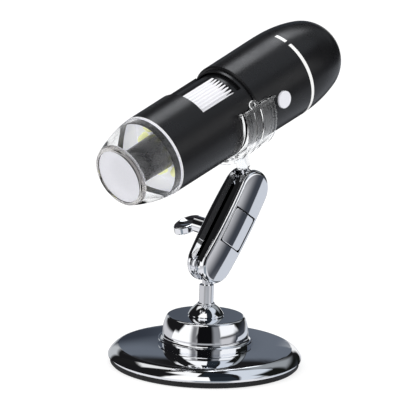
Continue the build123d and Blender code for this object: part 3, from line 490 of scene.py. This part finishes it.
clip_front, clip_rear, clip_step = 46.7, 62.1, 55.4
seat_radius, rear_seat_radius = 15.8, 16.55
band_radius, rib_radius, flange_radius, end_radius = 17.6, 18.15, 18.3, 18.1
flange_width, end_width, half_rib = 1.3, 0.9, 0.45
rib_places = (52.2, 55.5)
band_outline = [(seat_radius, clip_front), (flange_radius, clip_front),
                (flange_radius, clip_front + flange_width), (band_radius, clip_front + flange_width)]
for rib in rib_places:
    band_outline += [(band_radius, rib - half_rib), (rib_radius, rib - half_rib),
                     (rib_radius, rib + half_rib), (band_radius, rib + half_rib)]
band_outline += [(band_radius, clip_rear - end_width), (end_radius, clip_rear - end_width),
                 (end_radius, clip_rear), (rear_seat_radius, clip_rear),
                 (rear_seat_radius, clip_step), (seat_radius, clip_step)]
mouth_angle = 78.5
clip = spun("clear_clip", band_outline, tube_place, steps=112,
            turn=360 - 2 * mouth_angle, first=mouth_angle - 90)

# Each bar on a lip has its inner and outer radius, and how far it starts and ends from the mouth's edge.
lip_root, lip_tip, lip_start, lip_reach, lip_inset = 17.1, 20.1, 0.02, 0.8, 0.03
gusset_root, gusset_tip, gusset_start, gusset_reach, half_gusset = 17.2, 19.3, 0.7, 1.65, 0.40
rail_root, rail_tip, rail_start, rail_reach, rail_inset = 17.3, 18.14, 1.4, 1.9, 0.08
eye_bore, eye_radius, eye_depth = 0.9, 1.75, 1.07
eye_out, eye_over, eye_station = 0.019, 0.00105, 0.0515
clip_length = clip_rear - clip_front
extras = []
for side in (1, -1):
    lip_place = tube_place @ Matrix.Rotation(math.radians(side * mouth_angle - 90), 4, "Z")
    lip = [(lip_root, lip_start * side), (lip_tip, lip_start * side),
           (lip_tip, lip_reach * side), (lip_root, lip_reach * side)]
    extras.append(pulled("lip", lip, clip_front + lip_inset, clip_length - 2 * lip_inset, lip_place))
    gusset = [(gusset_root, gusset_start * side), (gusset_tip, gusset_start * side),
              (gusset_root, gusset_reach * side)]
    for middle in (clip_front + half_rib, *rib_places, clip_rear - half_rib):
        extras.append(pulled("gusset", gusset, middle - half_gusset, 2 * half_gusset, lip_place))
    rail = [(rail_root, rail_start * side), (rail_tip, rail_start * side),
            (rail_tip, rail_reach * side), (rail_root, rail_reach * side)]
    extras.append(pulled("rail", rail, clip_front + rail_inset, clip_length - 2 * rail_inset, lip_place))
    eye_turn = Matrix.Rotation(math.radians(90), 4, "Y")
    eye_place = lip_place @ Matrix.Translation((eye_out, -eye_over * side, eye_station)) @ eye_turn
    eye = [(eye_bore, 0), (eye_radius, 0), (eye_radius, eye_depth), (eye_bore, eye_depth)]
    extras.append(spun("eye", eye, eye_place, steps=40))
shank_radius, stalk_radius, cone_radius = 1.56, 2.45, 3.5
stalk_foot, shank_end, cone_start, cone_end, stalk_top = 6.6, 12.6, 10.825, 13.225, 13.4
stalk_outline = [(0, shank_end), (shank_radius, shank_end), (shank_radius, stalk_foot),
                 (stalk_radius, stalk_foot), (stalk_radius, cone_start), (cone_radius, cone_end),
                 (cone_radius, stalk_top), (0, stalk_top)]
extras.append(spun("stalk", stalk_outline, stalk_place, steps=48, closed=False))
clip = joined(clip, extras)
sliver = 0.00001
bpy.ops.object.mode_set(mode="EDIT")
bpy.ops.mesh.select_all(action="SELECT")
bpy.ops.mesh.remove_doubles(threshold=sliver)
bpy.ops.mesh.dissolve_degenerate(threshold=sliver)
bpy.ops.mesh.normals_make_consistent(inside=False)
bpy.ops.object.mode_set(mode="OBJECT")
rounded = clip.modifiers.new("rounded", "BEVEL")
rounded.width = 0.00010
rounded.segments = 2
rounded.limit_method = "ANGLE"
rounded.angle_limit = math.radians(40)
bpy.ops.object.modifier_apply(modifier=rounded.name)
bpy.ops.object.shade_smooth_by_angle(angle=math.radians(28))
clear_walls = finish("clear_polycarbonate", (0.965, 0.975, 0.985), (0.985, 0.99, 0.995), 0.0, 0.02,
                     grain_scale=900.0, settings={"Transmission Weight": 1.0, "IOR": 1.50})
clip.data.materials.append(clear_walls)
let_light_in(clear_walls)
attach(clip, "clip")
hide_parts("clip")


# Front tube: a long black moulding with a satin skin, cut away over the ridged focus grip.
# Its front socket is lacquered pale inside to spread the lamps' light, and the cap plugs into it.
# A weak glow on the lacquer stands for the light that reaches it through the clear cap.
def from_axis(tree):
    """How far a point of the surface lies from the tube's axis, in metres."""
    across_bore = along(tree, tube_front, tube_right)
    down_bore = along(tree, tube_front, tube_down)
    across_square = math_step(tree, "MULTIPLY", across_bore, across_bore)
    down_square = math_step(tree, "MULTIPLY", down_bore, down_bore)
    return math_step(tree, "SQRT", math_step(tree, "ADD", across_square, down_square))


satin_black = finish("satin_black", (0.0060, 0.0060, 0.0068), (0.0095, 0.0095, 0.0105), 0.27, 0.33,
                     smear_scale=60.0, grain_scale=3000.0, ripple=0.1, depth=0.000002,
                     settings={"Specular IOR Level": 0.30})
lined_tube = satin_black.copy()
lined_tube.name = "satin_black_lined"
tree = lined_tube.node_tree
socket_radius, socket_start, socket_end = 0.0140, 0.0160, 0.0300
in_bore = within(tree, from_axis(tree), 0, socket_radius)
in_socket = within(tree, along(tree, tube_front, tube_back), socket_start, socket_end)
lining = math_step(tree, "MULTIPLY", in_bore, in_socket)
painted_where(lined_tube, lining, (0.80, 0.80, 0.86))
scattered = put(tree, "ShaderNodeMix", {"data_type": "RGBA"},
                {0: lining, 6: (0, 0, 0, 1), 7: (0.80, 0.80, 0.90, 1)})
tree.links.new(scattered.outputs[2], tree.nodes["Principled BSDF"].inputs["Emission Color"])
tree.nodes["Principled BSDF"].inputs["Emission Strength"].default_value = 0.30
dress("front_tube", lined_tube)

# Focus wheel: a black ring that turns inside the tube, with its helical hub over the barrel's pin.
# The user's thumb reaches it through the cut in the tube.
dress("focus_wheel", satin_black)

# Focus grip: a silver white ridged inlay bonded into the wheel's rim.
# Its ridges run along the tube and end in points at the rear, with a plain rail along its right side.
# Shade is painted into the bottoms of the grooves.
grip_silver = finish("grip_silver", (0.82, 0.82, 0.85), (0.89, 0.89, 0.92), 0.30, 0.40, depth=0.00001)
tree = grip_silver.node_tree
groove_radius = 0.01362
# Painted shade: the grip is coloured dark grey below this radius, at the bottoms of its grooves.
painted_where(grip_silver, within(tree, from_axis(tree), 0, groove_radius), (0.16, 0.16, 0.18))
dress("wheel_grip", grip_silver)

# Lens guide: a black sleeve fixed in the tube that the barrel slides in.
# Its slot keeps the barrel's pin from turning.
dress("lens_guide", satin_black)

# Lamp board: a white ring board round the guide, with its lamps soldered to the front.
# It is clipped in behind the cap, and its weak glow stands for the light that comes through the cap.
board_white = finish("lamp_board", (0.74, 0.75, 0.76), (0.84, 0.85, 0.87), 0.35, 0.45, depth=0.00001,
                     settings={"Emission Color": (0.80, 0.80, 0.88, 1), "Emission Strength": 0.30})
dress("led_board", board_white)

# Lamps: eight round pale yellow lamps that stand in a ring and light the specimen through the window.
# Their resin is tinted by the phosphor inside. They are not lit; their weak glow stands for the light
# through the cap.
lamp_resin = finish("lamp_resin", (0.78, 0.80, 0.42), (0.90, 0.92, 0.58), 0.12, 0.2, depth=0.00001,
                    settings={"Emission Color": (0.80, 0.80, 0.36, 1), "Emission Strength": 0.35})
dress("leds", lamp_resin)

# Lens barrel: a glossy black tube that the wheel slides, with its steel pin, glass and screwed ring.
# The glass has a faint violet coating.
gloss_black = finish("gloss_black", (0.0085, 0.0085, 0.0105), (0.0095, 0.0095, 0.0115), 0.24, 0.30,
                     grain_scale=1800.0, settings={"Specular IOR Level": 0.8})
lens_glass = finish("coated_lens", (0.80, 0.86, 0.95), (0.86, 0.90, 0.98), 0.0, 0.015,
                    settings={"Transmission Weight": 1.0, "IOR": 1.52, "Coat Weight": 0.3,
                              "Coat Tint": (0.6, 0.5, 0.95, 1)})
anodised = finish("black_anodised", (0.02, 0.02, 0.022), (0.035, 0.035, 0.038), 0.25, 0.35, metallic=0.7,
                  grain_scale=2200.0, depth=0.00001)
dress("lens_barrel", gloss_black)
dress("objective_lens", lens_glass)
dress("lens_retainer", anodised)
dress("guide_pin", zinc_plate)

# Sensor board: a small green board across the tube with a dark image sensor package on its front.
# Its screws draw it against the bosses in the tube.
solder_mask = finish("solder_mask", (0.010, 0.10, 0.035), (0.018, 0.16, 0.06), 0.28, 0.38, depth=0.00002)
sensor_face = finish("sensor_face", (0.010, 0.012, 0.020), (0.020, 0.024, 0.035), 0.08, 0.16)
dress("sensor_board", solder_mask)
dress("image_sensor", sensor_face)
dress("board_screws", zinc_plate)

# Rear housing and rear dome: two more black mouldings in the tube's satin skin.
# The dome plugs into the housing and holds the cord's gland.
dress("rear_housing", satin_black)
dress("end_cap", satin_black)

# Ring: a white moulded band let into the joint between the tube and the housing, in two arcs.
# It is a little proud of the black on both sides of it.
ring_white = finish("ring_white", (0.84, 0.84, 0.83), (0.90, 0.90, 0.89), 0.28, 0.36, depth=0.00001)
dress("white_ring", ring_white)

# Gland: a soft black rubber bush seated in the rear dome, where the cord comes in.
# It has a fine matt skin.
gland_rubber = finish("gland_rubber", (0.010, 0.010, 0.011), (0.018, 0.018, 0.019), 0.5, 0.6, depth=0.00004)
dress("cable_gland", gland_rubber)

# Button: a domed pale key over a small black switch on the main board.
# The key lies in a well in the housing, and presses the switch.
switch_body = finish("switch_body", (0.02, 0.02, 0.022), (0.03, 0.03, 0.032), 0.42, 0.5, depth=0.00001)
button_white = finish("button_white", (0.72, 0.72, 0.77), (0.79, 0.79, 0.84), 0.28, 0.36, depth=0.00001)
dress("main_board", solder_mask)
dress("tact_switch", switch_body)
dress("snap_button", button_white)


# Cap: a clear acrylic shroud over the barrel and the lamps, bowed along its length and polished.
# It plugs into the tube, and its rear edge is left as cut, which shows as a thin white line at the seam.
def bowed(start, middle, stop, steps):
    """Points of (radius, station) on the even curve through three given points."""
    points = []
    for step in range(steps + 1):
        station = start[1] + (stop[1] - start[1]) * step / steps
        shares = (
            (station - middle[1]) * (station - stop[1]) / ((start[1] - middle[1]) * (start[1] - stop[1])),
            (station - start[1]) * (station - stop[1]) / ((middle[1] - start[1]) * (middle[1] - stop[1])),
            (station - start[1]) * (station - middle[1]) / ((stop[1] - start[1]) * (stop[1] - middle[1])),
        )
        radius = start[0] * shares[0] + middle[0] * shares[1] + stop[0] * shares[2]
        points.append((radius, station))
    return points


cut_start, cut_edge = 16.2, 16.45
ledge_radius, face_radius, hole_radius, ledge_depth, front_wall = 9.85, 10.6, 9.0, 1.5, 2.3
bore_radius, bore_start = 14.05, 12.6
cap_outline = [(ledge_radius, 0), (face_radius, 0)]
cap_outline += bowed((11.0, 0.4), (13.55, 7.6), (15.07, cut_start), 22)
cap_outline += [(15.09, cut_edge), (bore_radius, cut_edge), (bore_radius, cut_start)]
cap_outline += bowed((bore_radius, bore_start), (12.5, 7.6), (10.8, front_wall), 16)
cap_outline += [(hole_radius, front_wall), (hole_radius, ledge_depth), (ledge_radius, ledge_depth)]
cap = spun("clear_shroud", cap_outline, tube_place, steps=160, smooth=20)
cap_walls = finish("clear_acrylic", (0.975, 0.98, 0.99), (0.99, 0.995, 1.0), 0.0, 0.008,
                   grain_scale=700.0, settings={"Transmission Weight": 1.0, "IOR": 1.34})
cut_acrylic = finish("cut_acrylic", (0.90, 0.90, 0.92), (0.96, 0.96, 0.98), 0.45, 0.55,
                     grain_scale=1800.0, depth=0.00002)
tree = cap_walls.node_tree
# Painted shade: the walls are tinted grey near the cap's front rim, giving the rim a dark outline.
rim_start, rim_end = -0.001, 0.0014
rim_shade_zone = within(tree, along(tree, tube_front, tube_back), rim_start, rim_end)
painted_where(cap_walls, rim_shade_zone, (0.42, 0.40, 0.38))
let_light_in(cap_walls)
cap.data.materials.append(cap_walls)
cap.data.materials.append(cut_acrylic)
into_tube = tube_place.inverted()
for face in cap.data.polygons:
    if (into_tube @ face.center).z > cut_start * millimetre + sliver:
        face.material_index = 1
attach(cap, "scope")
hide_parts("clear_cap")

# Window: a frosted disc let into the cap's front, which spreads the lamps' light.
# Its face is ground, so it shows the cap's inside only as soft shapes.
frost = finish("frosted_window", (0.72, 0.72, 0.76), (0.80, 0.80, 0.84), 0.30, 0.42, grain_scale=1600.0,
               depth=0.00001, settings={"Transmission Weight": 0.35, "IOR": 1.49})
let_light_in(frost, 0.6)
dress("front_window", frost)
